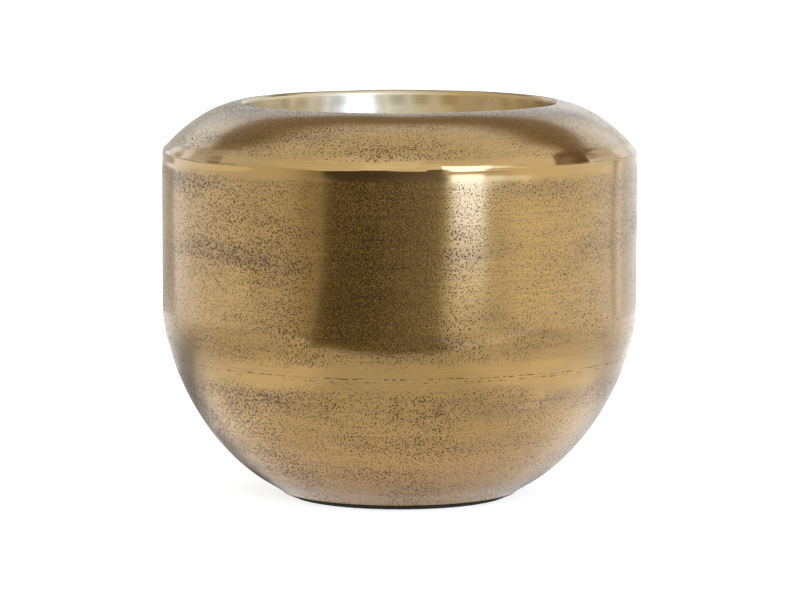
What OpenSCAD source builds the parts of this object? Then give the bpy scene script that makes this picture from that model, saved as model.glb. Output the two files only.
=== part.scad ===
// Brass planter pot: a hollow cast vessel with a round mouth.
// Three ring-shaped castings stand on each other: a bowl with a flat foot,
// a straight drum and a domed shoulder that turns down into a mouth collar.
// Two welds join them, one round the lower seam and one along the ridge,
// both ground flush outside and left as a bead inside. A soft pad is glued
// under the foot.
// Millimetres, +Z up. The origin is the centre of the pad's underside.

/* [Body] */
// Outside diameter of the drum, the widest part
pot_d = 380; // [360:2:400]
// Height from the floor to the top of the lip
pot_h = 316.5; // [305:0.5:325]
// Thickness of the cast wall
wall = 4; // [3.5:0.25:5]

/* [Bowl] */
// Height from the floor where the bowl ends and the drum begins
drum_z = 151.5; // [145:0.5:155]
// Diameter of the flat foot
foot_d = 192; // [188:1:196]
// Height from the floor where the bowl's curve ends and runs straight to the foot
foot_run = 14; // [12:1:18]
// Thickness of the bowl's floor
floor_t = 7; // [6:0.5:9]
// How far the bowl's curve reaches in from the drum
bowl_reach = 109.5; // [104:0.5:112]
// Exponent of the bowl's curve: 1 is a cone and 2 is an ellipse
bowl_power = 1.65; // [1.6:0.01:1.75]

/* [Shoulder and mouth] */
// Height from the floor to the ridge between the drum and the shoulder
ridge_z = 277.5; // [272:0.5:280]
// Inside diameter of the mouth at the lip
mouth_d = 249; // [244:1:254]
// How much smaller the collar's radius is at its lower end
collar_taper = 2; // [0:0.5:3]
// Height of the straight part at the collar's lower end
collar_land = 8; // [5:1:12]
// Radius of the rounded lip
lip_r = 3.5; // [3:0.1:4]
// Depth of the collar below the top of the lip
collar_h = 32; // [28:1:36]
// Radius at which the shoulder's dome would be highest
dome_r = 115; // [112:1:118]
// Half width of the dome's ellipse
dome_w = 129; // [126:1:132]
// Radius of the hand-ground ridge
ridge_round = 1.6; // [1:0.1:2.5]

/* [Seams] */
// Height of the lower seam from the floor
seam_z = 115.5; // [108:0.5:120]
// Width of each weld's outer face
weld_w = 5; // [4:0.5:6]
// Width of each weld at its root
root_w = 2.4; // [2:0.1:3]
// How far each weld's bead stands proud inside
bead_h = 1.6; // [1:0.1:2]

/* [Base pad] */
// Diameter of the pad at the top
pad_d = 189; // [185:1:190]
// Diameter of the pad at the floor, smaller because its edge is cut on a slant
pad_low_d = 174; // [164:1:180]
// Thickness of the pad
pad_t = 4; // [3:0.5:5]
// Thickness of the glue between the pad and the foot
glue_t = 0.4; // [0.3:0.1:0.6]

/* [Hidden] */
$fn = 96;

brass = "#b18e4b";
ground_brass = "#d0a95c";
glue_grey = "#55554f";
pad_black = "#1d1f1e";

pot_r = pot_d / 2;
foot_r = foot_d / 2;
mouth_r = mouth_d / 2;
inner_r = pot_r - wall;
foot_z = pad_t + glue_t;
floor_z = foot_z + floor_t;

bowl_steps = 26;
dome_steps = 14;
arc_steps = 6;
bead_steps = 6;

// The bowl is a quarter of a superellipse round this centre, and would end this far below the foot.
bowl_c = pot_r - bowl_reach;
bowl_sink = 1.6;
bowl_drop = drum_z - foot_z + bowl_sink;

// The collar narrows from the lip to a straight throat, whose lower edge is a half round.
throat_r = mouth_r - collar_taper;
collar_r = mouth_r + wall;
collar_z = pot_h - collar_h;
throat_z = collar_z + collar_land;
collar_edge = wall / 2;
fillet = 3;

// The lip's arc meets the dome at the dome's own slope.
lip_c = mouth_r + lip_r;
function dome_slope(r, w, h) = let (t = (r - dome_r) / w) atan(h / w * t / sqrt(1 - t * t));

// The dome's half height lets it pass through the ridge and the lip.
function dome_fall(r, w) = sqrt(1 - pow((r - dome_r) / w, 2));
dome_h = (pot_h - ridge_z) / (dome_fall(lip_c, dome_w) - dome_fall(pot_r, dome_w));
lip_tilt = dome_slope(lip_c, dome_w, dome_h);
lip_join = lip_c + lip_r * sin(lip_tilt);
dome_z = pot_h - lip_r * (1 - cos(lip_tilt)) - dome_h * dome_fall(lip_join, dome_w);

// Outer and inner height of the dome at a radius.
function dome_out(r) = dome_z + dome_h * dome_fall(r, dome_w);
function dome_in(r) = dome_z + (dome_h - wall) * dome_fall(r, dome_w - wall);
ridge_top = dome_out(pot_r);

// Radius of the bowl at a height, a thickness t in from its outer face.
function bowl_out(z, t = 0) =
    let (x = min(1, (drum_z - z) / (bowl_drop - t)))
    z >= drum_z ? pot_r - t
    : bowl_c + (bowl_reach - t) * pow(1 - pow(x, bowl_power), 1 / bowl_power);

// Points along the bowl's face between two heights, closer near the foot.
function bowl_line(z0, z1, t = 0) =
    [for (i = [0 : bowl_steps]) let (z = z0 + (z1 - z0) * pow(i / bowl_steps, 1.6)) [bowl_out(z, t), z]];

// Points along an arc from one angle to another.
function arc(c, r, a0, a1, steps = arc_steps) =
    [for (i = [0 : steps]) let (a = a0 + (a1 - a0) * i / steps) c + r * [cos(a), sin(a)]];

// A shallow curved bead from one point to another, standing out to the left.
function bead(p, q, h) =
    let (d = q - p, n = [-d[1], d[0]] / norm(d))
    [for (i = [0 : bead_steps]) let (s = i / bead_steps) p + d * s + n * h * 4 * s * (1 - s)];

function reversed(list) = [for (i = [len(list) - 1 : -1 : 0]) list[i]];

// The heights where the castings stop and each weld begins.
seam_low = seam_z - weld_w / 2;
seam_high = seam_z + weld_w / 2;
root_low = seam_z - root_w / 2;
root_high = seam_z + root_w / 2;
ridge_low = ridge_top - weld_w / 2;
ridge_in = pot_r - weld_w / 2;
corner_z = dome_in(inner_r);
corner_low = corner_z - root_w / 2;
corner_in = inner_r - root_w / 2;

// The ridge's round is tangent to the drum and to the dome near the ridge.
ridge_tilt = dome_slope(pot_r, dome_w, dome_h);
ridge_back = ridge_round * tan((90 - ridge_tilt) / 2);
ridge_c = [pot_r - ridge_round, ridge_top - ridge_back];

module turned(points) {
    rotate_extrude() polygon(points);
}

// Lower casting: flat foot, closed floor and the bowl up to the seam.
module bowl_casting() {
    foot_edge = 0.8;
    color(brass) turned(concat(
        [[0, foot_z], [foot_r - foot_edge, foot_z], [foot_r, foot_z + foot_edge]],
        bowl_line(foot_run, seam_low),
        reversed(bowl_line(floor_z, root_low, wall)),
        [[0, floor_z]]));
}

// Middle casting: the bowl's upper part and the straight drum.
module drum_casting() {
    color(brass) turned(concat(
        bowl_line(seam_high, drum_z),
        [[pot_r, ridge_low], [inner_r, corner_low]],
        reversed(bowl_line(root_high, drum_z, wall))));
}

// Top casting: domed shoulder, rounded lip and the collar of the mouth.
module shoulder_casting() {
    dome_from = collar_r + fillet;
    outer = [for (i = [0 : dome_steps])
        let (r = ridge_in + (lip_join - ridge_in) * i / dome_steps) [r, dome_out(r)]];
    inner = [for (i = [0 : dome_steps])
        let (r = dome_from + (corner_in - dome_from) * i / dome_steps) [r, dome_in(r)]];
    lip = arc([lip_c, pot_h - lip_r], lip_r, 90 - lip_tilt, 180);
    edge = arc([throat_r + collar_edge, collar_z + collar_edge], collar_edge, 180, 360);
    color(brass) turned(concat(
        outer, lip, [[throat_r, throat_z]], edge,
        [[throat_r + wall, throat_z], [collar_r, dome_in(dome_from) - fillet]], inner));
}

// Weld between the bowl and the drum, flush outside and beaded inside.
module seam_weld() {
    low = [bowl_out(root_low, wall), root_low];
    high = [bowl_out(root_high, wall), root_high];
    color(ground_brass) turned(concat(
        [[bowl_out(seam_low), seam_low], [bowl_out(seam_z), seam_z], [bowl_out(seam_high), seam_high]],
        bead(high, low, -bead_h)));
}

// Weld along the ridge between the drum and the shoulder.
module ridge_weld() {
    low = [inner_r, corner_low];
    high = [corner_in, dome_in(corner_in)];
    color(ground_brass) turned(concat(
        [[pot_r, ridge_low]],
        arc(ridge_c, ridge_round, 0, 90 - ridge_tilt, 4),
        [[ridge_in, dome_out(ridge_in)]],
        bead(high, low, -bead_h)));
}

// Thin glue layer that holds the pad to the foot.
module pad_adhesive() {
    color(glue_grey) translate([0, 0, pad_t]) cylinder(d = pad_d - 2, h = glue_t);
}

// Soft round pad that the pot stands on, narrower at the floor.
module base_pad() {
    color(pad_black) cylinder(d1 = pad_low_d, d2 = pad_d, h = pad_t);
}

bowl_casting();
drum_casting();
shoulder_casting();
seam_weld();
ridge_weld();
pad_adhesive();
base_pad();
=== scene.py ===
"""Brass planter pot: turned and hand-ground castings, their welds and the base pad.

Everything is in metres in the CAD frame: +Z up, the origin under the middle of the base pad.
One skin line, the pot's outer profile, is worked out from the frame. Each casting and weld takes
its own stretch of that line, so neighbouring pieces meet exactly, as ground-flush work does.
A place on the skin is given by its turn, the distance along that line from the foot's edge, and by
its azimuth, the angle round the pot from the front, growing towards +X.
"""
import math

import bpy
import numpy as np
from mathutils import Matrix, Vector


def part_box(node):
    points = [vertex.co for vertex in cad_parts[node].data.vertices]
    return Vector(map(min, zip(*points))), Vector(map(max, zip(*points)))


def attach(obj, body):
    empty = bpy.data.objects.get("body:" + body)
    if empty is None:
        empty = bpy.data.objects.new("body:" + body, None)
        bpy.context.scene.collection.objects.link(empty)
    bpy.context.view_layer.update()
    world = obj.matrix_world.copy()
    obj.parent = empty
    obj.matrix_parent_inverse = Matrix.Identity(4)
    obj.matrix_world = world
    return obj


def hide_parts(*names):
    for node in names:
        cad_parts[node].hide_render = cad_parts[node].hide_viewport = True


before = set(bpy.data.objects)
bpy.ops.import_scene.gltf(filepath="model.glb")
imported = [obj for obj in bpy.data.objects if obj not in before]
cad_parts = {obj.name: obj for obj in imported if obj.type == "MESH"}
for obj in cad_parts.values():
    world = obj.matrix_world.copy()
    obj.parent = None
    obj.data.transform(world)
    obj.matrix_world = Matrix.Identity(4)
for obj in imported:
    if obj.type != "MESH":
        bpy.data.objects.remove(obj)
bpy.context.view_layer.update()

MM = 0.001

# --- sizes that come from the frame ---
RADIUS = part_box("ridge_weld")[1].x
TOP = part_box("shoulder_casting")[1].z
FOOT_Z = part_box("bowl_casting")[0].z
PAD_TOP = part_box("base_pad")[1].z
PAD_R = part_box("base_pad")[1].x
GLUE_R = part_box("pad_adhesive")[1].x
SEAM_LOW, SEAM_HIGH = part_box("seam_weld")[0].z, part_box("seam_weld")[1].z
SEAM_Z = (SEAM_LOW + SEAM_HIGH) / 2

# --- shape of the skin, the same curves as the CAD model ---
WALL = 4 * MM
FLOOR_T = 7 * MM
FOOT_R = 96 * MM
FOOT_EDGE = 0.8 * MM
FOOT_RUN = 14 * MM
PAD_LOW_R = 87 * MM
DRUM_Z = 151.5 * MM
BOWL_REACH = 109.5 * MM
BOWL_SINK = 1.6 * MM
BOWL_DROP = DRUM_Z - FOOT_Z + BOWL_SINK
BOWL_POWER = 1.65
DOME_R = 115 * MM
DOME_W = 129 * MM
RIDGE_Z = 277.5 * MM
RIDGE_ROUND = 1.6 * MM
MOUTH_R = 124.5 * MM
LIP_R = 3.5 * MM
COLLAR_H = 32 * MM
COLLAR_EDGE = WALL / 2
COLLAR_TAPER = 2 * MM
COLLAR_LAND = 8 * MM
WELD_W = SEAM_HIGH - SEAM_LOW
ROOT_W = 2.4 * MM
BEAD_H = 1.6 * MM

# The ripples that welding left in the beads inside: how far apart, and how high.
RIPPLE = 4.2 * MM
RIPPLE_H = 0.45 * MM

# --- how finely the meshes are divided ---
SKIN_STEP = 0.5 * MM
INSIDE_STEP = 5 * MM
UNDER_STEP = 3 * MM
COLUMNS = 720
WELD_COLUMNS = 1440
PAD_COLUMNS = 480
FLAT_ROWS = 10
PAD_ROWS = 12
BEAD_ROWS = 9
SHARP = math.radians(32)


# --- the skin line ---

def dome_fall(r):
    """Height of the shoulder's ellipse at a radius, as a share of its half height."""
    return np.sqrt(1 - ((r - DOME_R) / DOME_W) ** 2)


def dome_tilt(r, height):
    """Slope of that ellipse, in radians, for a half height."""
    across = (r - DOME_R) / DOME_W
    return math.atan(height / DOME_W * across / math.sqrt(1 - across ** 2))


LIP_C = MOUTH_R + LIP_R
THROAT_R = MOUTH_R - COLLAR_TAPER
DOME_H = (TOP - RIDGE_Z) / (dome_fall(LIP_C) - dome_fall(RADIUS))
LIP_TILT = dome_tilt(LIP_C, DOME_H)
LIP_JOIN = LIP_C + LIP_R * math.sin(LIP_TILT)
DOME_Z = TOP - LIP_R * (1 - math.cos(LIP_TILT)) - DOME_H * dome_fall(LIP_JOIN)
RIDGE_TILT = dome_tilt(RADIUS, DOME_H)
RIDGE_TOP = DOME_Z + DOME_H * dome_fall(RADIUS)


def bowl_radius(z):
    """Radius of the bowl, a quarter of a superellipse, at a height."""
    drop = np.clip((DRUM_Z - z) / BOWL_DROP, 0, 1)
    return RADIUS - BOWL_REACH + BOWL_REACH * (1 - drop ** BOWL_POWER) ** (1 / BOWL_POWER)


def arc(centre, radius, start, end, count=24):
    """Points of an arc between two angles in degrees."""
    angles = np.radians(np.linspace(start, end, count))
    return np.column_stack([centre[0] + radius * np.cos(angles), centre[1] + radius * np.sin(angles)])


def resampled(points, step):
    """The same line with points a step apart."""
    keep = np.r_[True, np.linalg.norm(np.diff(points, axis=0), axis=1) > 1e-7]
    points = points[keep]
    along = np.r_[0, np.cumsum(np.linalg.norm(np.diff(points, axis=0), axis=1))]
    count = max(2, int(round(along[-1] / step)) + 1)
    even = np.linspace(0, along[-1], count)
    return np.column_stack([np.interp(even, along, points[:, 0]), np.interp(even, along, points[:, 1])])


def skin_line():
    """Points (radius, height) from the foot's edge up the outside, over the lip and down the collar."""
    rise = np.linspace(0, 1, 160) ** 1.6
    bowl_z = FOOT_RUN + (DRUM_Z - FOOT_RUN) * rise
    back = RIDGE_ROUND * math.tan((math.pi / 2 - RIDGE_TILT) / 2)
    ridge_c = (RADIUS - RIDGE_ROUND, RIDGE_TOP - back)
    ridge_end = 90 - math.degrees(RIDGE_TILT)
    dome_from = ridge_c[0] + RIDGE_ROUND * math.cos(math.radians(ridge_end))
    dome_r = np.linspace(dome_from, LIP_JOIN, 90)
    collar_z = TOP - COLLAR_H
    return resampled(np.vstack([
        arc((FOOT_R - FOOT_EDGE, FOOT_Z + FOOT_EDGE), FOOT_EDGE, -90, 0, 6),
        np.column_stack([bowl_radius(bowl_z), bowl_z]),
        arc(ridge_c, RIDGE_ROUND, 0, ridge_end),
        np.column_stack([dome_r, DOME_Z + DOME_H * dome_fall(dome_r)]),
        arc((LIP_C, TOP - LIP_R), LIP_R, 90 - math.degrees(LIP_TILT), 180),
        [[THROAT_R, collar_z + COLLAR_LAND]],
        arc((THROAT_R + COLLAR_EDGE, collar_z + COLLAR_EDGE), COLLAR_EDGE, 180, 270, 8),
    ]), SKIN_STEP)


SKIN = skin_line()
TURN = np.r_[0, np.cumsum(np.linalg.norm(np.diff(SKIN, axis=0), axis=1))]
_slope = np.gradient(SKIN, TURN, axis=0)
SKIN_OUT = np.column_stack([_slope[:, 1], -_slope[:, 0]])
TURN_TOP = TURN[SKIN[:, 1].argmax()]


def skin_at(turn):
    """Points and outward directions on the skin for an array of turns."""
    point = np.column_stack([np.interp(turn, TURN, SKIN[:, k]) for k in (0, 1)])
    out = np.column_stack([np.interp(turn, TURN, SKIN_OUT[:, k]) for k in (0, 1)])
    return point, out / np.linalg.norm(out, axis=1)[:, None]


def turn_of_height(z):
    """How far along the skin, going up the outside, a height is reached."""
    outside = TURN <= TURN_TOP
    return float(np.interp(z, SKIN[outside, 1], TURN[outside]))


# Turns of the middle and the edges of both welds. The ridge is rounded, so its middle lies lower.
ROUNDED_OFF = 0.5 * MM
T_SEAM = turn_of_height(SEAM_Z)
T_RIDGE = turn_of_height(RIDGE_TOP - ROUNDED_OFF)
T_SEAM_LOW, T_SEAM_HIGH = T_SEAM - WELD_W / 2, T_SEAM + WELD_W / 2
T_RIDGE_LOW, T_RIDGE_HIGH = T_RIDGE - WELD_W / 2, T_RIDGE + WELD_W / 2
T_END = float(TURN[-1])


# --- hand work: the small waves that casting and grinding leave in the metal ---

# Heights of the waves: in the casting, where a weld was ground, and along the ridge.
CASTING_WAVE = 0.10 * MM
GRINDING_WAVE = 0.06 * MM
RIDGE_WAVE = 0.16 * MM

# How deep the seam was ground and how hollow the drum is under the ridge.
SEAM_CUT = 0.12 * MM
RIDGE_HOLLOW = 0.22 * MM
RIDGE_HOLLOW_REACH = 9 * MM

# Share of a full flat that the grinder left on the shoulder and in the collar.
FACET_DEPTH = 0.5

# Depth, middle above the ridge and half width of a bevel.
BEVEL_DEPTH = 0.9 * MM
BEVEL_MIDDLE = 0.6 * MM
BEVEL_HALF = 4.4 * MM

# The waves stand this far inside the true curve, so the pot keeps its CAD size.
INSET = 0.2 * MM

# Middle and half width, in degrees round the pot from the front, of each bevel on the ridge.
BEVELS = [(59, 8), (-112, 20), (168, 15)]

# Where weld metal was left standing on the shoulder's side of the ridge, and its shape.
SWELLINGS = [(17, 15), (-78, 14), (118, 18)]
SWELL_HEIGHT = 1.9 * MM
SWELL_RISE = 3.4 * MM
SWELL_END = 17 * MM

# Middle and half width, in degrees round the pot from the front, of each stretch of hairline.
HAIRLINES = [(-58, 17), (56, 11), (148, 24), (-140, 20)]

# The same for each stretch where the seam was ground over a wider band.
WIDE_GRINDING = [(46, 15), (-150, 22)]

# The same for each stretch where the casting skin came out with fewer and smaller pits.
CALM_SKIN = [(46, 40), (-130, 35)]

# The same where the collar gets less of its painted reflection, so it stays nearer the colour of the
# brass.
COLLAR_LESS_PAINTED_REFLECTION = [(116, 74)]


def waves(azimuth, along, seed, count, turns, lengths, height):
    """A smooth sum of waves: turns is how many go round the pot, lengths how long they are upward."""
    random = np.random.default_rng(seed)
    total = np.zeros(np.broadcast(azimuth, along).shape)
    for _ in range(count):
        round_pot = random.integers(turns[0], turns[1] + 1)
        upward = 2 * math.pi / random.uniform(*lengths) * random.choice([-1, 1])
        total = total + np.sin(round_pot * azimuth + upward * along + random.uniform(0, 2 * math.pi))
    return total * height / math.sqrt(count)


def smooth_step(low, high, value):
    """0 below low, 1 above high, and an S curve between them."""
    t = np.clip((value - low) / (high - low), 0, 1)
    return t * t * (3 - 2 * t)


def facets(azimuth, seed, count, widths):
    """Flats left by a grinder going round the pot: how far each cuts in below the round."""
    random = np.random.default_rng(seed)
    middles = (np.arange(count) + random.uniform(-0.3, 0.3, count)) * 2 * math.pi / count
    cut = 0 * azimuth
    for middle in middles:
        half = math.radians(random.uniform(*widths))
        away = (azimuth - middle + math.pi) % (2 * math.pi) - math.pi
        flat = RADIUS * (1 - math.cos(half) / np.cos(np.clip(away, -half, half)))
        cut = np.maximum(cut, np.where(abs(away) < half, flat, 0))
    return cut


def hand_work(azimuth, turn):
    """How far the outer skin stands from the true curve, in metres, for columns and rows of points."""
    casting = waves(azimuth, turn, seed=11, count=9, turns=(2, 11), lengths=(0.07, 0.22),
                    height=CASTING_WAVE)
    above = turn - T_RIDGE
    near_ridge = 1 - smooth_step(5 * MM, 16 * MM, abs(above))
    near_seam = 1 - smooth_step(4 * MM, 13 * MM, abs(turn - T_SEAM))
    grinding = waves(azimuth, turn, seed=23, count=8, turns=(14, 52), lengths=(0.03, 0.09),
                     height=GRINDING_WAVE)
    ridge_wave = waves(azimuth, turn * 0, seed=31, count=7, turns=(3, 19), lengths=(1, 2),
                       height=RIDGE_WAVE)
    on_shoulder = smooth_step(-1 * MM, 2 * MM, above) * (1 - smooth_step(8 * MM, 13 * MM, above))
    flats = FACET_DEPTH * facets(azimuth, seed=41, count=26, widths=(4.0, 7.5)) * on_shoulder
    in_collar = smooth_step(TURN_TOP + 2 * MM, TURN_TOP + 16 * MM, turn)
    flats = flats + FACET_DEPTH * facets(azimuth, seed=53, count=34, widths=(3.0, 5.5)) * in_collar
    on_bevel = np.clip(1 - abs(above - BEVEL_MIDDLE) / BEVEL_HALF, 0, 1)
    bevel = BEVEL_DEPTH * around(azimuth, BEVELS) * on_bevel
    quiet = smooth_step(0, 12 * MM, turn) * (1 - smooth_step(T_END - 6 * MM, T_END, turn))
    under_ridge = np.clip(-above / RIDGE_HOLLOW_REACH, 0, 1)
    hollow = RIDGE_HOLLOW * np.sin(math.pi * under_ridge) ** 2
    lift = np.clip(above / SWELL_RISE, 0, 1) * (1 - smooth_step(SWELL_RISE, SWELL_END, above))
    swelling = SWELL_HEIGHT * around(azimuth, SWELLINGS) * lift
    worked = casting + grinding * (near_ridge + near_seam) + ridge_wave * near_ridge
    worked = worked - SEAM_CUT * near_seam - hollow - INSET * (1 + near_ridge)
    return np.minimum(worked * quiet - flats - bevel, 0) + swelling


def around(azimuth, stretches):
    """1 inside the given stretches round the pot, falling to 0 at their ends."""
    total = 0 * azimuth
    for middle, half in stretches:
        away = np.abs((np.degrees(azimuth) - middle + 180) % 360 - 180)
        total = np.maximum(total, 1 - smooth_step(half * 0.6, half, away))
    return total


# --- mesh code ---

def turned_piece(name, rows, columns=COLUMNS, skin=None, values=None):
    """A mesh turned round Z from rows of (radius, height). Each row of radius 0 becomes one pole vertex.

    skin gives each row its turn along the skin, or NaN off it: those rows get the hand work.
    values are per-row numbers kept as mesh attributes for the material.
    """
    rows = np.asarray(rows, float)
    azimuth = np.linspace(0, 2 * math.pi, columns, endpoint=False)
    radius = np.repeat(rows[:, :1], columns, 1)
    height = np.repeat(rows[:, 1:2], columns, 1)
    if skin is not None:
        on_skin = ~np.isnan(skin)
        _, out = skin_at(skin[on_skin])
        push = hand_work(azimuth[None, :], skin[on_skin][:, None])
        radius[on_skin] += push * out[:, :1]
        height[on_skin] += push * out[:, 1:2]
    return grid_mesh(name, rows, radius, height, azimuth, values or {})


def grid_mesh(name, rows, radius, height, azimuth, values):
    """Joins rows of points round Z into quads, the last row to the first, with a fan at each pole."""
    columns = len(azimuth)
    poles = rows[:, 0] < 1e-6
    start, points, count = [], [], 0
    for i in range(len(rows)):
        start.append(count)
        wide = 1 if poles[i] else columns
        turn = azimuth[:wide]
        points.append(np.column_stack([radius[i, :wide] * np.sin(turn), -radius[i, :wide] * np.cos(turn),
                                       height[i, :wide]]))
        count += wide
    faces = []
    column = np.arange(columns)
    beside = (column + 1) % columns
    for i in range(len(rows)):
        j = (i + 1) % len(rows)
        if poles[i] and poles[j]:
            continue
        a, b, c, d = start[i] + column, start[i] + beside, start[j] + beside, start[j] + column
        if poles[i]:
            faces += np.column_stack([np.full(columns, start[i]), c, d]).tolist()
        elif poles[j]:
            faces += np.column_stack([a, b, np.full(columns, start[j])]).tolist()
        else:
            faces += np.column_stack([a, b, c, d]).tolist()
    mesh = bpy.data.meshes.new(name)
    mesh.from_pydata(np.vstack(points).tolist(), [], faces)
    for key, per_row in values.items():
        each = np.concatenate([np.full(1 if poles[i] else columns, per_row[i]) for i in range(len(rows))])
        mesh.attributes.new(key, "FLOAT", "POINT").data.foreach_set("value", each.astype(np.float32))
    column_azimuth = np.concatenate([azimuth[:1 if poles[i] else columns] for i in range(len(rows))])
    for key, stretches in (("hairline", HAIRLINES), ("wide_grinding", WIDE_GRINDING),
                            ("calm", CALM_SKIN), ("less_painted_reflection", COLLAR_LESS_PAINTED_REFLECTION)):
        mesh.attributes.new(key, "FLOAT", "POINT").data.foreach_set(
            "value", around(column_azimuth, stretches).astype(np.float32))
    mesh.polygons.foreach_set("use_smooth", np.ones(len(mesh.polygons), bool))
    mesh.update()
    mesh.set_sharp_from_angle(angle=SHARP)
    piece = bpy.data.objects.new(name, mesh)
    bpy.context.scene.collection.objects.link(piece)
    return piece


def stretch(t0, t1, step):
    """Even turns from t0 to t1, about a step apart."""
    return np.linspace(t0, t1, max(2, int(round((t1 - t0) / step)) + 1))


def inner_line(t0, t1, step):
    """The inside face behind a stretch of skin, from t1 back to t0."""
    point, out = skin_at(stretch(t0, t1, step))
    return (point - WALL * out)[::-1]


def casting(name, parts):
    """Makes a casting from parts: each is (rows, turns or None, collar, raw).

    Rows without turns are off the skin: they get no hand work, and gaps of 1 m to both welds.
    """
    rows, skin, collar, raw = [], [], [], []
    for points, turns, is_collar, is_raw in parts:
        rows.append(points)
        skin.append(np.full(len(points), np.nan) if turns is None else turns)
        collar.append(np.broadcast_to(is_collar, len(points)))
        raw.append(np.full(len(points), float(is_raw)))
    rows, skin = np.vstack(rows), np.concatenate(skin)
    along = np.r_[0, np.cumsum(np.linalg.norm(np.diff(rows, axis=0), axis=1))]
    turn = np.where(np.isnan(skin), along + 1, skin)
    return turned_piece(name, rows, skin=skin, values={
        "turn": turn,
        "seam_gap": np.where(np.isnan(skin), 1, turn - T_SEAM),
        "ridge_gap": np.where(np.isnan(skin), 1, turn - T_RIDGE),
        "collar": np.concatenate(collar),
        "raw": np.concatenate(raw),
    })


def make_bowl():
    turns = stretch(0, T_SEAM_LOW, 1.6 * MM)
    outside, _ = skin_at(turns)
    inner = inner_line(0, T_SEAM - ROOT_W / 2, INSIDE_STEP)
    floor_z = FOOT_Z + FLOOR_T
    inner = inner[inner[:, 1] > floor_z + 1 * MM]
    floor_r = inner[-1, 0] - 2 * MM
    under_r = np.linspace(0, FOOT_R - FOOT_EDGE - 1 * MM, FLAT_ROWS)
    under = np.column_stack([under_r, np.full(FLAT_ROWS, FOOT_Z)])
    floor = np.column_stack([np.linspace(floor_r, 0, FLAT_ROWS), np.full(FLAT_ROWS, floor_z)])
    return casting("bowl_casting_piece", [
        (under, None, 0, 1), (outside, turns, 0, 0), (inner, None, 0, 1), (floor, None, 0, 1)])


def make_drum():
    turns = stretch(T_SEAM_HIGH, T_RIDGE_LOW, 1.8 * MM)
    outside, _ = skin_at(turns)
    inner = inner_line(T_SEAM + ROOT_W / 2, T_RIDGE - ROOT_W, INSIDE_STEP)
    return casting("drum_casting_piece", [(outside, turns, 0, 0), (inner, None, 0, 1)])


def make_shoulder():
    turns = stretch(T_RIDGE_HIGH, T_END, 1.2 * MM)
    outside, _ = skin_at(turns)
    into_collar = smooth_step(TURN_TOP, TURN_TOP + 4 * MM, turns)
    collar_r = MOUTH_R + WALL
    edge_r = THROAT_R + COLLAR_EDGE
    collar_low = TOP - COLLAR_H
    edge = arc((edge_r, collar_low + COLLAR_EDGE), COLLAR_EDGE, -75, 0, 6)
    under = inner_line(T_RIDGE + ROOT_W, turn_of_height(TOP - 4.5 * MM), UNDER_STEP)
    under = under[under[:, 0] > collar_r + 3 * MM]
    back = resampled(np.array([(THROAT_R + WALL, collar_low + 4 * MM),
                               (THROAT_R + WALL, collar_low + COLLAR_LAND),
                               (collar_r, under[0, 1] - 3 * MM)]), UNDER_STEP)
    return casting("shoulder_casting_piece", [
        (outside, turns, into_collar, 0), (edge, None, 1, 1), (back, None, 0, 1), (under, None, 0, 1)])


def make_weld(name, t0, t1, root0, root1, ripple):
    """A weld: flush on the skin, with a rippled bead standing proud inside."""
    turns = stretch(t0, t1, SKIN_STEP)
    outside, out_skin = skin_at(turns)
    across = np.linspace(0, 1, BEAD_ROWS)
    root = stretch(root0, root1, (root1 - root0) / (BEAD_ROWS - 1))[::-1]
    point, out = skin_at(root)
    bead = point - (WALL + BEAD_H * np.sin(math.pi * across))[:, None] * out
    rows = np.vstack([outside, bead])
    skin = np.r_[turns, np.full(len(bead), np.nan)]
    azimuth = np.linspace(0, 2 * math.pi, WELD_COLUMNS, endpoint=False)
    radius = np.repeat(rows[:, :1], WELD_COLUMNS, 1)
    height = np.repeat(rows[:, 1:2], WELD_COLUMNS, 1)
    push = hand_work(azimuth[None, :], turns[:, None])
    radius[:len(turns)] += push * out_skin[:, :1]
    height[:len(turns)] += push * out_skin[:, 1:2]
    pulse = np.abs(np.sin(azimuth * ripple / 2)) ** 0.6 - 0.6
    wander = waves(azimuth, 0 * azimuth, seed=47, count=5, turns=(5, 23), lengths=(1, 2), height=0.5)
    swell = RIPPLE_H * (pulse + wander)[None, :] * np.sin(math.pi * across)[:, None]
    radius[len(turns):] -= swell * out[:, :1]
    height[len(turns):] -= swell * out[:, 1:2]
    return grid_mesh(name, rows, radius, height, azimuth, {
        "turn": np.r_[turns, np.ones(len(bead))],
        "seam_gap": np.r_[turns - T_SEAM, np.ones(len(bead))],
        "ridge_gap": np.r_[turns - T_RIDGE, np.ones(len(bead))],
        "collar": np.zeros(len(rows)),
        "raw": np.r_[np.zeros(len(turns)), np.ones(len(bead))],
    })


def push_edge(piece, beyond, offset):
    """Moves the vertices farther than beyond from Z out by offset, a function of the angle round Z."""
    for vertex in piece.data.vertices:
        x, y, _ = vertex.co
        far = math.hypot(x, y)
        if far > beyond:
            out = offset(math.atan2(y, x))
            vertex.co.x += x / far * out
            vertex.co.y += y / far * out


def make_pad():
    """The base pad, with the slightly ragged edge of cut foam."""
    edge, inset = 0.4 * MM, 0.3 * MM
    r, low_r = PAD_R - inset, PAD_LOW_R - inset
    rows = np.vstack([
        np.column_stack([np.linspace(0, low_r - 2 * edge, PAD_ROWS), np.zeros(PAD_ROWS)]),
        arc((low_r - edge, edge), edge, -80, -20, 4),
        arc((r - edge, PAD_TOP - edge), edge, -20, 80, 5),
        np.column_stack([np.linspace(r - 2 * edge, 0, PAD_ROWS), np.full(PAD_ROWS, PAD_TOP)]),
    ])
    piece = turned_piece("base_pad_piece", rows, columns=PAD_COLUMNS)
    push_edge(piece, low_r - 1.5 * edge,
              lambda a: 0.10 * MM * (math.sin(37 * a + 1.0) + math.sin(61 * a + 4.0)) - 0.1 * MM)
    return piece


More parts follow.
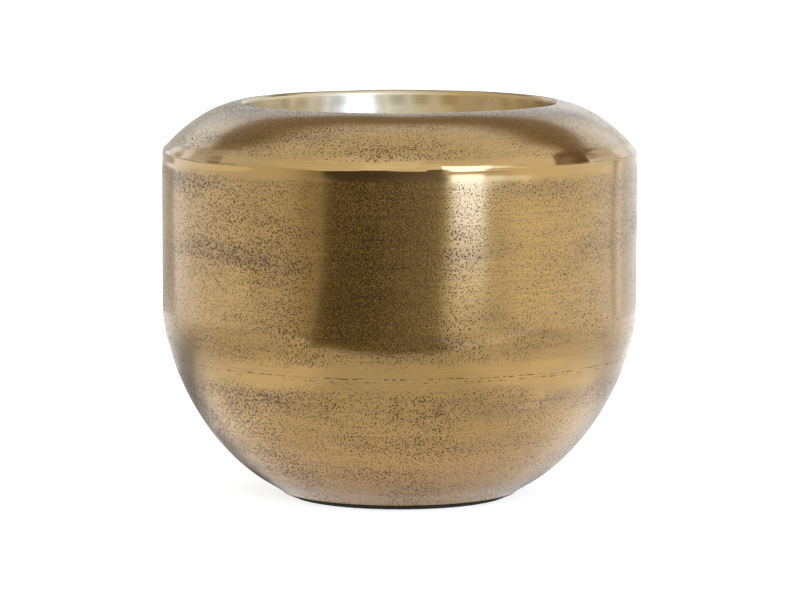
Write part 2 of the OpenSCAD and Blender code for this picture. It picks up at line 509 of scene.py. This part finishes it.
def make_glue():
    """The glue layer, squeezed to an uneven edge between the foot and the pad."""
    rows = np.array([[0, PAD_TOP], [GLUE_R - 1 * MM, PAD_TOP], [GLUE_R, PAD_TOP + 0.1 * MM],
                     [GLUE_R, FOOT_Z - 0.1 * MM], [GLUE_R - 1 * MM, FOOT_Z], [0, FOOT_Z]])
    piece = turned_piece("pad_adhesive_piece", rows, columns=PAD_COLUMNS)
    push_edge(piece, GLUE_R / 2,
              lambda a: 0.4 * MM * (math.sin(23 * a + 2.0) + math.sin(41 * a)) - 1.0 * MM)
    return piece


# --- materials ---

class Nodes:
    """Short calls for building a node tree."""

    def __init__(self, owner):
        owner.use_nodes = True
        self.owner = owner
        self.tree = owner.node_tree
        self.shader = self.tree.nodes.get("Principled BSDF")

    def put(self, kind, **settings):
        """A new node."""
        node = self.tree.nodes.new(kind)
        for key, value in settings.items():
            setattr(node, key, value)
        return node

    def feed(self, node, inputs):
        """Links each input, or sets it where a plain value is given."""
        for key, value in inputs.items():
            socket = node.inputs[key]
            if isinstance(value, bpy.types.NodeSocket):
                self.tree.links.new(value, socket)
            else:
                socket.default_value = value

    def place(self):
        return self.put("ShaderNodeTexCoord").outputs["Object"]

    def value(self, name):
        """A number kept on the mesh."""
        return self.put("ShaderNodeAttribute", attribute_name=name).outputs["Fac"]

    def math(self, operation, *terms):
        node = self.put("ShaderNodeMath", operation=operation)
        self.feed(node, dict(enumerate(terms)))
        return node.outputs[0]

    def plus(self, first, second):
        return self.math("ADD", first, second)

    def minus(self, first, second):
        return self.math("SUBTRACT", first, second)

    def times(self, first, second):
        return self.math("MULTIPLY", first, second)

    def larger(self, first, second):
        return self.math("MAXIMUM", first, second)

    def size(self, value):
        return self.math("ABSOLUTE", value)

    def split(self, vector):
        node = self.put("ShaderNodeSeparateXYZ")
        self.feed(node, {0: vector})
        return node.outputs

    def join(self, x, y, z):
        node = self.put("ShaderNodeCombineXYZ")
        self.feed(node, {0: x, 1: y, 2: z})
        return node.outputs[0]

    def distance(self, vector, centre):
        node = self.put("ShaderNodeVectorMath", operation="DISTANCE")
        self.feed(node, {0: vector, 1: centre})
        return node.outputs["Value"]

    def stretched(self, place, across, turn, along):
        """A vector for noise drawn out round the pot: x and y times across, and turn times along."""
        x, y, _ = self.split(place)
        return self.join(self.times(x, across), self.times(y, across), self.times(turn, along))

    def noise(self, vector, scale, detail=3.0, roughness=0.55):
        node = self.put("ShaderNodeTexNoise")
        self.feed(node, {"Vector": vector, "Scale": scale, "Detail": detail, "Roughness": roughness})
        return node.outputs[0]

    def wobble(self, vector, scale, detail, reach):
        """Noise on both sides of 0, reach from end to end."""
        return self.times(self.minus(self.noise(vector, scale, detail), 0.5), reach)

    def cells(self, vector, scale):
        """How far the nearest of many scattered points is."""
        node = self.put("ShaderNodeTexVoronoi", feature="F1")
        self.feed(node, {"Vector": vector, "Scale": scale})
        return node.outputs["Distance"]

    def band(self, value, low, high, out_low=0.0, out_high=1.0):
        """value rising smoothly from low to high becomes out_low to out_high. low may be above high."""
        if low > high:
            low, high, out_low, out_high = high, low, out_high, out_low
        node = self.put("ShaderNodeMapRange", interpolation_type="SMOOTHSTEP")
        self.feed(node, {0: value, 1: low, 2: high, 3: out_low, 4: out_high})
        return node.outputs[0]

    def mix(self, share, first, second):
        """The first colour where share is 0, the second where it is 1."""
        node = self.put("ShaderNodeMix", data_type="RGBA", clamp_factor=True)
        self.tree.links.new(share, node.inputs[0])
        for socket, value in ((node.inputs[6], first), (node.inputs[7], second)):
            if isinstance(value, bpy.types.NodeSocket):
                self.tree.links.new(value, socket)
            else:
                socket.default_value = (*value, 1)
        return node.outputs[2]

    def bump(self, height, distance, normal=None):
        node = self.put("ShaderNodeBump")
        self.feed(node, {"Height": height, "Distance": distance, "Strength": 1.0})
        if normal is not None:
            self.feed(node, {"Normal": normal})
        return node.outputs[0]


def new_material(name):
    return bpy.data.materials.new(name)


def glow_only(n, colour, strength):
    """Finishes the material of a card that lights nothing and shows only where it is mirrored."""
    n.feed(n.shader, {"Base Color": (0, 0, 0, 1), "Specular IOR Level": 0.0,
                      "Emission Color": colour, "Emission Strength": strength})
    n.owner.cycles.emission_sampling = "NONE"
    return n.owner


# Colours, linear.
BRASS = (0.39, 0.228, 0.042)
BRASS_PALE = (0.40, 0.238, 0.042)
BRASS_DEEP = (0.31, 0.178, 0.034)
# The collar's pale colour is a painted reflection: it stands for the brighter light that the collar
# mirrors.
COLLAR_PAINTED_REFLECTION = (0.54, 0.475, 0.320)
PATINA = (0.130, 0.072, 0.026)
PATINA_PLUM = (0.160, 0.088, 0.050)
ROSY = (0.41, 0.200, 0.042)
PIT = (0.085, 0.042, 0.014)
RAW_DARK, RAW_LIGHT = (0.20, 0.135, 0.062), (0.33, 0.235, 0.115)
RAW_SPECK = (0.04, 0.027, 0.016)
FOAM_DARK, FOAM_LIGHT = (0.004, 0.005, 0.004), (0.009, 0.010, 0.008)
GLUE_DARK, GLUE_LIGHT = (0.010, 0.010, 0.009), (0.045, 0.043, 0.036)
FLOOR_DARK, FLOOR_LIGHT = (0.42, 0.42, 0.42), (0.45, 0.45, 0.45)

# How far from each weld's middle the casting skin is whole, and how near it is ground away.
SEAM_GROUND = (15 * MM, 3 * MM)
RIDGE_GROUND = (11 * MM, 6 * MM)

# Cells in a metre that the pits, and the small pits between them, are scattered over.
PIT_CELLS = 540.0
SMALL_PIT_CELLS = 1050.0

# A ring of the bowl where pits and stain crowd together: its height, and its half width out and in.
MOTTLED_Z = 92 * MM
MOTTLED_WIDE = (15 * MM, 4 * MM)

# Half widths, out and in, of the pores along the seam, of a second row of them and of the hairlines.
PORES_WIDE = (0.65 * MM, 0.2 * MM)
SECOND_WIDE = (0.55 * MM, 0.15 * MM)
SECOND_BELOW = 2.8 * MM
HAIRLINE_WIDE = (0.55 * MM, 0.15 * MM)


def ground_share(n, place, collar):
    """1 on the collar and where a weld was ground smooth, 0 on the casting skin."""
    wobble = n.wobble(place, 22.0, 3.0, 16 * MM)
    narrower = n.minus(1.0, n.times(n.value("wide_grinding"), 0.45))
    seam_gap = n.times(n.plus(n.value("seam_gap"), wobble), narrower)
    ridge_gap = n.plus(n.value("ridge_gap"), n.times(wobble, 0.5))
    near_seam = n.times(n.band(n.size(seam_gap), *SEAM_GROUND), 0.75)
    near_ridge = n.band(n.size(ridge_gap), *RIDGE_GROUND)
    return n.larger(n.larger(near_seam, near_ridge), collar)


def casting_pits(n, place, reach):
    """1 at the bottom of each pit. reach is how far a pit spreads round the middle of its cell."""
    jitter = n.wobble(place, 900.0, 1.0, 0.08)
    pit_far = n.plus(n.cells(place, PIT_CELLS), jitter)
    small_far = n.plus(n.cells(place, SMALL_PIT_CELLS), jitter)
    pits = n.band(n.minus(pit_far, reach), 0.08, -0.02)
    small = n.band(n.minus(small_far, reach), 0.07, -0.04)
    return n.larger(pits, n.times(small, 0.75))


def seam_pores(n, place):
    """A broken line of pores along the seam weld, with a few more below it."""
    seam_line = n.plus(n.value("seam_gap"), n.wobble(place, 30.0, 2.0, 3 * MM))
    dashes = n.times(n.band(n.noise(place, 250.0, 3.0, 0.7), 0.46, 0.54),
                     n.band(n.noise(place, 45.0, 2.0, 0.6), 0.38, 0.50, 0.35, 1.0))
    line = n.times(n.band(n.size(seam_line), *PORES_WIDE), dashes)
    second = n.size(n.plus(seam_line, SECOND_BELOW))
    fewer = n.band(n.noise(place, 170.0, 3.0, 0.7), 0.55, 0.61)
    return n.larger(line, n.times(n.band(second, *SECOND_WIDE), fewer))


def hairlines(n, place):
    """Hairlines where the ridge weld was ground down beside the shoulder."""
    line = n.times(n.value("hairline"), n.band(n.size(n.value("ridge_gap")), *HAIRLINE_WIDE))
    return n.times(line, n.band(n.noise(place, 60.0, 3.0, 0.7), 0.36, 0.52))


def antique_brass():
    """Turned and lacquered brass: pitted casting skin, smoother where the welds were ground."""
    n = Nodes(new_material("antique_brass"))
    place = n.place()
    z = n.split(place)["Z"]
    turn, collar, calm = n.value("turn"), n.value("collar"), n.value("calm")
    fine_rings = n.noise(n.stretched(place, 6.0, turn, 150.0), 4.0, 4.0, 0.6)
    soft_rings = n.noise(n.stretched(place, 9.0, turn, 40.0), 1.0, 5.0, 0.6)
    patches = n.noise(place, 16.0, 3.0, 0.55)
    ground = ground_share(n, place, collar)
    rough_skin = n.minus(1.0, ground)

    # Pits crowd together in some rings and patches.
    crowd = n.band(n.plus(n.times(soft_rings, 0.6), n.times(patches, 0.4)), 0.36, 0.64)
    ring = n.band(n.size(n.minus(z, MOTTLED_Z)), *MOTTLED_WIDE)
    mottled = n.times(ring, n.band(n.noise(place, 10.0, 4.0, 0.65), 0.44, 0.60))
    crowd = n.plus(crowd, n.times(mottled, 0.6))
    least = n.minus(0.195, n.times(calm, 0.03))
    most = n.minus(0.16, n.times(calm, 0.05))
    reach = n.times(n.plus(least, n.times(crowd, most)), rough_skin)
    pits = n.larger(casting_pits(n, place, reach), seam_pores(n, place))
    dark_marks = n.larger(pits, hairlines(n, place))

    # Single turning marks, thin and long, mostly on the bowl.
    marks = n.band(n.noise(n.stretched(place, 13.0, turn, 620.0), 1.0, 2.0, 0.5), 0.62, 0.70)
    marks = n.times(marks, n.band(z, 150 * MM, 100 * MM, 0.0, 0.8))

    # Colour: bright rings over darker brass, plum and brown patina where the pits crowd.
    tone = n.mix(n.band(fine_rings, 0.30, 0.66), BRASS_DEEP, BRASS)
    tone = n.mix(n.times(ground, 0.5), tone, BRASS_PALE)
    stain = n.band(n.plus(n.times(soft_rings, 0.7), n.times(fine_rings, 0.3)), 0.52, 0.72)
    stain = n.times(stain, n.plus(0.10, n.times(rough_skin, 0.50)))
    stain = n.plus(stain, n.times(mottled, 0.42))
    tone = n.mix(stain, tone, n.mix(patches, PATINA, PATINA_PLUM))
    tone = n.mix(n.band(z, 90 * MM, 10 * MM, 0.0, 0.75), tone, ROSY)
    # Painted reflection: the collar is made paler, as its bright reflection makes it look, less so in one
    # stretch round the pot.
    pale = n.minus(0.8, n.times(n.value("less_painted_reflection"), 0.7))
    tone = n.mix(n.times(collar, pale), tone, COLLAR_PAINTED_REFLECTION)
    tone = n.mix(n.times(marks, 0.7), tone, PATINA_PLUM)
    tone = n.mix(n.times(dark_marks, 0.95), tone, PIT)

    # Roughness: least on ground metal, more on the skin and in the collar, most in the pits.
    sheen = n.plus(0.13, n.times(rough_skin, 0.05))
    sheen = n.plus(sheen, n.times(n.minus(fine_rings, 0.5), 0.10))
    sheen = n.plus(sheen, n.times(collar, 0.14))
    sheen = n.plus(sheen, n.times(pits, 0.40))

    grain = n.noise(place, 380.0, 3.0, 0.6)
    normal = n.bump(fine_rings, 0.018 * MM)
    normal = n.bump(n.times(grain, rough_skin), 0.04 * MM, normal)
    normal = n.bump(n.minus(1.0, dark_marks), 0.10 * MM, normal)
    n.feed(n.shader, {"Base Color": tone, "Roughness": sheen, "Normal": normal, "Metallic": 1.0,
                      "Coat Weight": n.minus(1.0, n.times(pits, 0.95)),
                      "Coat Roughness": 0.14, "Coat IOR": 1.7})
    return n.owner


def raw_casting():
    """The unworked inside of the castings: dull, grainy and darker."""
    n = Nodes(new_material("raw_casting"))
    place = n.place()
    grain = n.noise(place, 330.0, 4.0, 0.65)
    cloud = n.noise(place, 12.0, 4.0, 0.6)
    speck = n.band(n.cells(place, 420.0), 0.34, 0.14)
    tone = n.mix(n.band(cloud, 0.3, 0.7), RAW_DARK, RAW_LIGHT)
    tone = n.mix(n.times(speck, 0.75), tone, RAW_SPECK)
    rough = n.plus(0.38, n.times(grain, 0.25))
    normal = n.bump(grain, 0.25 * MM)
    n.feed(n.shader, {"Base Color": tone, "Roughness": rough, "Normal": normal, "Metallic": 1.0})
    return n.owner


def foam_rubber():
    """The base pad: closed-cell foam with a fine grain."""
    n = Nodes(new_material("foam_rubber"))
    place = n.place()
    grain = n.noise(place, 1400.0, 2.0, 0.7)
    cloud = n.noise(place, 60.0, 3.0)
    tone = n.mix(n.band(cloud, 0.3, 0.7), FOAM_DARK, FOAM_LIGHT)
    n.feed(n.shader, {"Base Color": tone, "Roughness": n.plus(0.72, n.times(grain, 0.2)),
                      "Specular IOR Level": 0.15, "Normal": n.bump(grain, 0.12 * MM)})
    return n.owner


def dried_glue():
    """The glue between pad and foot: dark, slightly glossy and lumpy."""
    n = Nodes(new_material("dried_glue"))
    lumps = n.noise(n.place(), 240.0, 3.0)
    tone = n.mix(lumps, GLUE_DARK, GLUE_LIGHT)
    n.feed(n.shader, {"Base Color": tone, "Roughness": n.plus(0.35, n.times(lumps, 0.2)),
                      "Normal": n.bump(lumps, 0.2 * MM)})
    return n.owner


def white_floor():
    """A white light table, brighter to the sides, whose own light fills the underside of the pot."""
    n = Nodes(new_material("white_floor"))
    place = n.place()
    x = n.split(place)["X"]
    tone = n.mix(n.noise(place, 3.0, 2.0), FLOOR_DARK, FLOOR_LIGHT)
    right = n.times(n.band(x, 0.12, 0.34, 0.0, 0.36), n.band(x, 1.0, 0.5))
    left = n.times(n.band(x, -0.14, -0.34, 0.0, 0.10), n.band(x, -0.9, -0.45))
    glow = n.plus(0.78, n.plus(right, left))
    n.feed(n.shader, {"Base Color": tone, "Roughness": 0.9, "Emission Color": (1, 1, 1, 1),
                      "Emission Strength": glow})
    return n.owner


def table_card():
    """The table as the metal shows it: white, darker close to the pot and where things shade it."""
    n = Nodes(new_material("table_card"))
    x, y, _ = n.split(n.place())
    far = n.math("SQRT", n.plus(n.times(x, x), n.times(y, y)))

    # Brightness by the distance from the pot, and more of it in front at the sides and at the right.
    table = n.minus(n.band(far, 0.10, 0.15, 0.68, 1.03), n.band(far, 0.18, 0.32, 0.0, 0.12))
    table = n.plus(table, n.band(far, 0.45, 0.80, 0.0, 0.10))
    aside = n.times(n.band(n.size(x), 0.12, 0.22, 0.0, 0.35), n.band(y, 0.12, 0.0))
    table = n.plus(table, n.times(aside, n.band(far, 0.50, 0.28)))
    table = n.plus(table, n.band(x, 0.15, 0.35, 0.0, 0.13))

    # The shade behind the pot, deeper at the left, a spot on each side of the foot and a soft one
    # farther back at the left.
    shade = n.times(n.band(far, 0.95, 0.30), n.band(x, 0.30, -0.20, 0.22, 0.62))
    shade = n.times(shade, n.band(y, 0.03, 0.20))
    beside = n.distance(n.join(n.size(x), y, 0), (0.125, 0.07, 0))
    beside = n.times(n.band(beside, 0.125, 0.045), n.band(x, -0.05, 0.05, 0.78, 0.38))
    behind = n.distance(n.join(x, y, 0), (-0.205, 0.15, 0))
    behind = n.band(behind, 0.17, 0.04, 0.0, 0.45)
    shade = n.larger(n.larger(shade, beside), behind)
    return glow_only(n, (1, 0.98, 0.95, 1), n.larger(n.minus(table, shade), 0.05))


def matt_black():
    """A card that is nearly black in the metal."""
    n = Nodes(new_material("matt_black"))
    n.feed(n.shader, {"Base Color": (0.006, 0.006, 0.006, 1), "Roughness": 1.0,
                      "Specular IOR Level": 0.0})
    return n.owner


def dress(piece, outside, inside):
    """Gives the faces off the skin the raw casting and the rest the finished brass."""
    mesh = piece.data
    mesh.materials.append(outside)
    mesh.materials.append(inside)
    raw = np.empty(len(mesh.vertices), np.float32)
    mesh.attributes["raw"].data.foreach_get("value", raw)
    corners = np.empty(len(mesh.loops), np.int32)
    mesh.loops.foreach_get("vertex_index", corners)
    starts = np.empty(len(mesh.polygons), np.int32)
    mesh.polygons.foreach_get("loop_start", starts)
    index = (np.maximum.reduceat(raw[corners], starts) > 0.5).astype(np.int32)
    mesh.polygons.foreach_set("material_index", index)


# --- the pot ---

BRASS_SKIN = antique_brass()
BRASS_RAW = raw_casting()
ripples = int(2 * math.pi * RADIUS / RIPPLE)
seam_turns = (T_SEAM_LOW, T_SEAM_HIGH, T_SEAM - ROOT_W / 2, T_SEAM + ROOT_W / 2)
ridge_turns = (T_RIDGE_LOW, T_RIDGE_HIGH, T_RIDGE - ROOT_W, T_RIDGE + ROOT_W)
castings = [
    (make_bowl(), "bowl_casting", "antique_brass"),
    (make_drum(), "drum_casting", "antique_brass"),
    (make_shoulder(), "shoulder_casting", "antique_brass"),
    (make_weld("seam_weld_piece", *seam_turns, ripples), "seam_weld", "ground_weld"),
    (make_weld("ridge_weld_piece", *ridge_turns, ripples), "ridge_weld", "ground_weld"),
]
for piece, node, slot_name in castings:
    dress(piece, BRASS_SKIN, BRASS_RAW)
    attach(piece, "root")
    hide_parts(node)

for piece, node, slot_name, material in [
    (make_pad(), "base_pad", "base_pad", foam_rubber()),
    (make_glue(), "pad_adhesive", "adhesive", dried_glue()),
]:
    piece.data.materials.append(material)
    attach(piece, "root")
    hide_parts(node)


# --- studio ---

# The lamps are aimed at this height. Their blue makes up for the brass, so their highlight is pale.
AIM_HEIGHT = 0.2
KEY_TINT = (0.84, 1.19, 2.25)
WHITE = (1.0, 1.0, 1.0)

# How far the floor reaches, and how far in front: past that the metal sees the room's lower part.
FLOOR_FAR = 14.0
FLOOR_FRONT = 0.53

# Flat cards lie this far above the floor. Upright ones start this far above it, and are bent in steps.
CARD_LIFT = 1 * MM
WALL_LIFT = 2 * MM
WALL_STEPS = 24


def direction(azimuth, elevation):
    """Unit vector: azimuth 0 points from the pot to the camera, and grows towards +X."""
    a, e = math.radians(azimuth), math.radians(elevation)
    return np.array([math.sin(a) * math.cos(e), -math.cos(a) * math.cos(e), math.sin(e)])


def softbox(name, azimuth, elevation, distance, radiance, colour):
    """A rectangular light that spans two ranges of degrees as seen from the pot."""
    span = [2 * distance * math.tan(math.radians((high - low) / 2))
            for low, high in (azimuth, elevation)]
    lamp = bpy.data.lights.new(name, "AREA")
    lamp.shape = "RECTANGLE"
    lamp.size, lamp.size_y, lamp.color = span[0], span[1], colour
    lamp.energy = radiance * math.pi * span[0] * span[1]
    obj = bpy.data.objects.new(name, lamp)
    bpy.context.scene.collection.objects.link(obj)
    way = direction(sum(azimuth) / 2, sum(elevation) / 2)
    obj.location = way * distance + np.array([0, 0, AIM_HEIGHT])
    obj.rotation_mode = "QUATERNION"
    obj.rotation_quaternion = Vector(way).to_track_quat("Z", "Y")
    obj.visible_camera = False
    return obj


def sheet(name, left, right, front, back, height, material):
    """A flat rectangle parallel to the floor."""
    mesh = bpy.data.meshes.new(name)
    mesh.from_pydata([(left, front, height), (right, front, height), (right, back, height),
                      (left, back, height)], [], [(0, 1, 2, 3)])
    mesh.materials.append(material)
    obj = bpy.data.objects.new(name, mesh)
    bpy.context.scene.collection.objects.link(obj)
    return obj


def only_reflected(obj):
    """A card that shows in the metal but not to the camera, and casts no shade."""
    obj.visible_camera = False
    obj.visible_diffuse = False
    obj.visible_shadow = False


# What the pot's surroundings look like from the pot: each patch is laid over the ones before.
# A patch is colour, azimuth range, elevation range, how soft its left, right, low and high edges
# are, all in degrees, and whether it is mirrored, which makes it use the azimuth without its sign.
ROOM = [
    ((1.12, 1.13, 1.12), (-200, 200), (55, 95), (1, 1, 8, 1), False),       # ceiling
    ((1.30, 1.30, 1.26), (55, 126), (-90, 68), (7, 8, 1, 10), False),       # pale wall at the right
    ((0.80, 0.80, 0.77), (-142, -112), (-60, 37), (8, 8, 1, 4), False),     # duller wall at the left
    ((1.15, 1.19, 1.23), (140, 162), (-60, 36), (8, 6, 1, 2), True),        # pale back corners
    ((0.70, 0.73, 0.76), (162, 200), (-60, 36), (6, 1, 1, 2), True),        # duller back wall
    ((0.32, 0.235, 0.15), (129, 200), (34, 55), (5, 1, 1.5, 6), True),      # dark band high at the back
    ((0.24, 0.155, 0.09), (99, 136), (28, 44), (2, 4, 2, 2), False),        # its end at the right
    ((1.44, 1.50, 1.56), (-58, 72), (62, 84), (16, 14, 6, 4), False),       # overhead light
    ((1.25, 1.35, 1.52), (-42, 62), (7, 66), (3, 8, 3, 8), False),          # front wall
    ((1.60, 1.75, 1.95), (-45, 30), (4, 22), (6, 4, 2, 6), False),          # its brighter lower part
    ((0.58, 0.52, 0.42), (-52, -30), (-27, 5), (10, 1, 4, 3), False),       # brown edge of the front card
    ((0.12, 0.095, 0.075), (-35, 20), (-27, 4), (2, 3, 4, 2.5), False),     # the dark front card
]


def room():
    """The world: ROOM for the metal and plain white for the camera."""
    world = bpy.data.worlds.new("studio")
    n = Nodes(world)
    x, y, z = n.split(n.put("ShaderNodeTexCoord").outputs["Generated"])
    azimuth = n.math("DEGREES", n.math("ARCTAN2", x, n.times(y, -1.0)))
    elevation = n.math("DEGREES", n.math("ARCSINE", z))
    unsigned = n.size(azimuth)

    def window(value, low, high, soft_low, soft_high):
        rise = n.band(value, low - soft_low, low + soft_low)
        fall = n.band(value, high + soft_high, high - soft_high)
        return n.times(rise, fall)

    light = WHITE
    for colour, azimuths, elevations, soft, mirrored in ROOM:
        across = window(unsigned if mirrored else azimuth, *azimuths, soft[0], soft[1])
        upward = window(elevation, *elevations, soft[2], soft[3])
        light = n.mix(n.times(across, upward), light, colour)
    seen = n.put("ShaderNodeLightPath").outputs["Is Camera Ray"]
    n.feed(n.tree.nodes["Background"], {"Color": n.mix(seen, light, WHITE), "Strength": 1.0})
    return world


def wall(name, azimuths, distance, height, colour, right_colour=None, top_azimuths=None):
    """An upright curved card round the pot that shows only in the metal.

    right_colour, if given, is reached at the card's right end, and top_azimuths make it lean.
    """
    def ring(ends, z):
        angles = np.radians(np.linspace(*ends, WALL_STEPS + 1))
        return [(math.sin(a) * distance, -math.cos(a) * distance, z) for a in angles]

    low, high = ring(azimuths, WALL_LIFT), ring(top_azimuths or azimuths, height)
    faces = [(i, i + 1, i + WALL_STEPS + 2, i + WALL_STEPS + 1) for i in range(WALL_STEPS)]
    mesh = bpy.data.meshes.new(name)
    mesh.from_pydata(low + high, [], faces)
    n = Nodes(new_material(name))
    x = n.split(n.place())["X"]
    share = n.band(x, 0.4 * low[0][0], low[-1][0])
    mesh.materials.append(glow_only(n, n.mix(share, colour, right_colour or colour), 1.0))
    obj = bpy.data.objects.new(name, mesh)
    bpy.context.scene.collection.objects.link(obj)
    only_reflected(obj)
    return obj


sheet("floor", -FLOOR_FAR, FLOOR_FAR, -FLOOR_FRONT, FLOOR_FAR, 0, white_floor())
only_reflected(sheet("front_flag", -0.36, 0.19, -FLOOR_FRONT, -0.46, CARD_LIFT, matt_black()))
only_reflected(sheet("table_card", -1.1, 1.1, -0.455, 1.2, CARD_LIFT, table_card()))
wall("left_wall", (180, 213), 1.3, 0.62, (0.58, 0.56, 0.50))
wall("left_low_wall", (211, 227), 1.35, 0.2, (0.60, 0.54, 0.43))
wall("right_wall", (128, 180), 1.3, 0.62, (0.91, 0.90, 0.86))
wall("right_gap", (117, 121), 1.3, 0.5, (0.70, 0.60, 0.48))
wall("front_card", (-37, 12.6), 0.52, 0.345, (0.12, 0.10, 0.078), (0.26, 0.235, 0.23), (-24.5, 20.8))
softbox("key_softbox", (23, 39), (-4.3, 38), 1.4, 2.2, KEY_TINT)
softbox("key_softbox_wide", (20, 48), (-1, 38), 1.45, 0.55, KEY_TINT)
softbox("key_softbox_side", (40, 62), (2, 22), 1.5, 0.5, KEY_TINT)
bpy.context.scene.world = room()
bpy.context.scene.view_settings.view_transform = "Standard"

# --- camera ---

# Where the camera stands, and the height on the pot's axis that it looks at.
CAMERA_SIDE = 0.0003
CAMERA_BACK = 4.083
CAMERA_HEIGHT = 0.618
CAMERA_AIM = 0.1565
LENS = 230.6
SENSOR = 36
camera_data = bpy.data.cameras.new("camera")
camera_data.lens = LENS
camera_data.sensor_width = SENSOR
camera = bpy.data.objects.new("camera", camera_data)
bpy.context.scene.collection.objects.link(camera)
camera.location = (CAMERA_SIDE, -CAMERA_BACK, CAMERA_HEIGHT)
camera.rotation_euler = (math.pi / 2 - math.atan2(CAMERA_HEIGHT - CAMERA_AIM, CAMERA_BACK), 0, 0)
camera_data.clip_end = 60
bpy.context.scene.camera = camera
